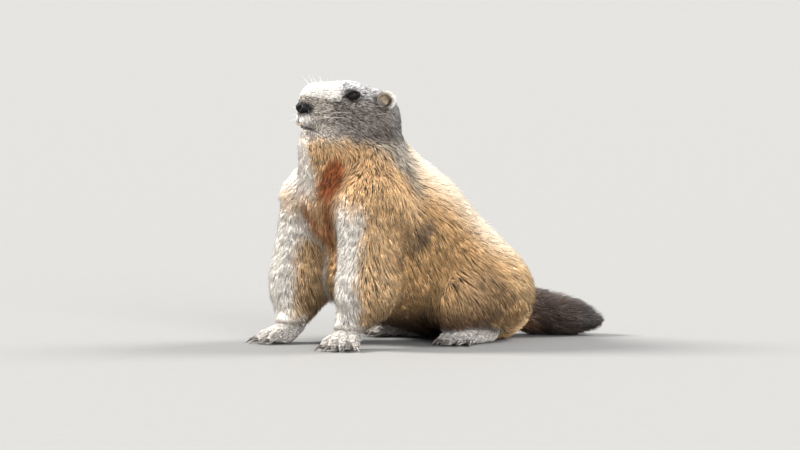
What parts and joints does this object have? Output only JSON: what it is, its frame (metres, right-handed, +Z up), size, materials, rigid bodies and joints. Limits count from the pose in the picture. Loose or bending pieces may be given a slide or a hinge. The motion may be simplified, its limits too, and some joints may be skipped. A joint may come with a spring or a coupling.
{
  "type": "alpine marmot",
  "caption": "Life-size alpine marmot sitting up on straight forelegs, head raised and turned to its right, bushy tail laid on the floor.",
  "frame": {"origin": "on the floor, under the middle of the bounding box", "axes": "+Z up, the body faces -Y, +X is the animal's left"},
  "size_m": [0.2168, 0.4106, 0.3007],
  "materials": {
    "grey_fur": "matte",
    "tan_fur": "matte",
    "brown_fur": "matte",
    "tail_fur": "matte",
    "paw_fur": "matte",
    "nose_skin": "satin",
    "claw": "satin",
    "eye": "gloss",
    "tooth": "satin"
  },
  "bodies": {
    "root": {"left_fore_claw_1": "claw", "left_fore_claw_2": "claw", "left_fore_claw_3": "claw", "left_fore_claw_4": "claw", "left_hind_claw_1": "claw", "left_hind_claw_2": "claw", "left_hind_claw_3": "claw", "left_hind_claw_4": "claw", "left_hind_claw_5": "claw", "right_fore_claw_1": "claw", "right_fore_claw_2": "claw", "right_fore_claw_3": "claw", "right_fore_claw_4": "claw", "right_hind_claw_1": "claw", "right_hind_claw_2": "claw", "right_hind_claw_3": "claw", "right_hind_claw_4": "claw", "right_hind_claw_5": "claw", "left_upper_arm": "tan_fur", "left_forearm": "tan_fur", "left_hand": "paw_fur", "right_upper_arm": "tan_fur", "right_forearm": "tan_fur", "right_hand": "paw_fur", "left_thigh": "brown_fur", "left_hind_foot": "paw_fur", "right_thigh": "brown_fur", "right_hind_foot": "paw_fur", "neck": "grey_fur", "chest": "tan_fur", "belly": "tan_fur", "rump": "brown_fur", "tail_root": "tail_fur", "tail_end": "tail_fur", "left_eye": "eye", "right_eye": "eye", "nose": "nose_skin", "upper_incisors": "tooth", "head": "grey_fur", "left_ear": "grey_fur", "right_ear": "grey_fur"}
  },
  "joints": []
}
